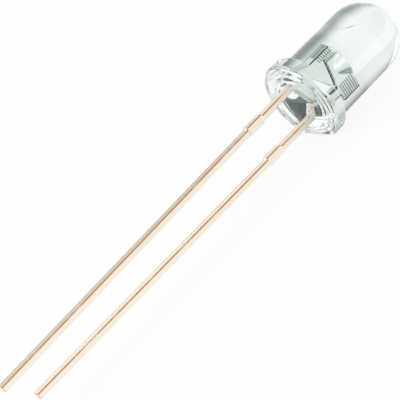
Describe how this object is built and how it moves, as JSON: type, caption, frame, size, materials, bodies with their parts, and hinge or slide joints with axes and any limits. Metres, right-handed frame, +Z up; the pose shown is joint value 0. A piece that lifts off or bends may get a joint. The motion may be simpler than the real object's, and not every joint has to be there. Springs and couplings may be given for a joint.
{
  "type": "infrared light-emitting diode",
  "caption": "Through-hole infrared emitter: water-clear domed body with a flanged base and a flat, straight plated leads of unequal length, and a cup, die and bond wire cast inside.",
  "frame": {"origin": "on the optical axis, in the seating plane of the base rim", "axes": "+X along the optical axis towards the dome, with the leads to -X; Y across the stamped strip; +Z up from the flange's flat, which the part lies on, with the anode above the cathode"},
  "size_m": [0.035, 0.0058, 0.0055],
  "materials": {
    "clear_epoxy": "clear cast epoxy with a polished mould surface",
    "plated_strip": "stamped iron strip with a warm silver plating",
    "semiconductor": "sawn gallium arsenide with a polished top",
    "silver_glue": "cured silver-filled adhesive",
    "gold_wire": "drawn fine gold"
  },
  "bodies": {
    "root": {"lens_body": "clear_epoxy", "anode_lead": "plated_strip", "cathode_lead": "plated_strip", "emitter_die": "semiconductor", "die_attach": "silver_glue", "bond_wire": "gold_wire"}
  },
  "joints": []
}
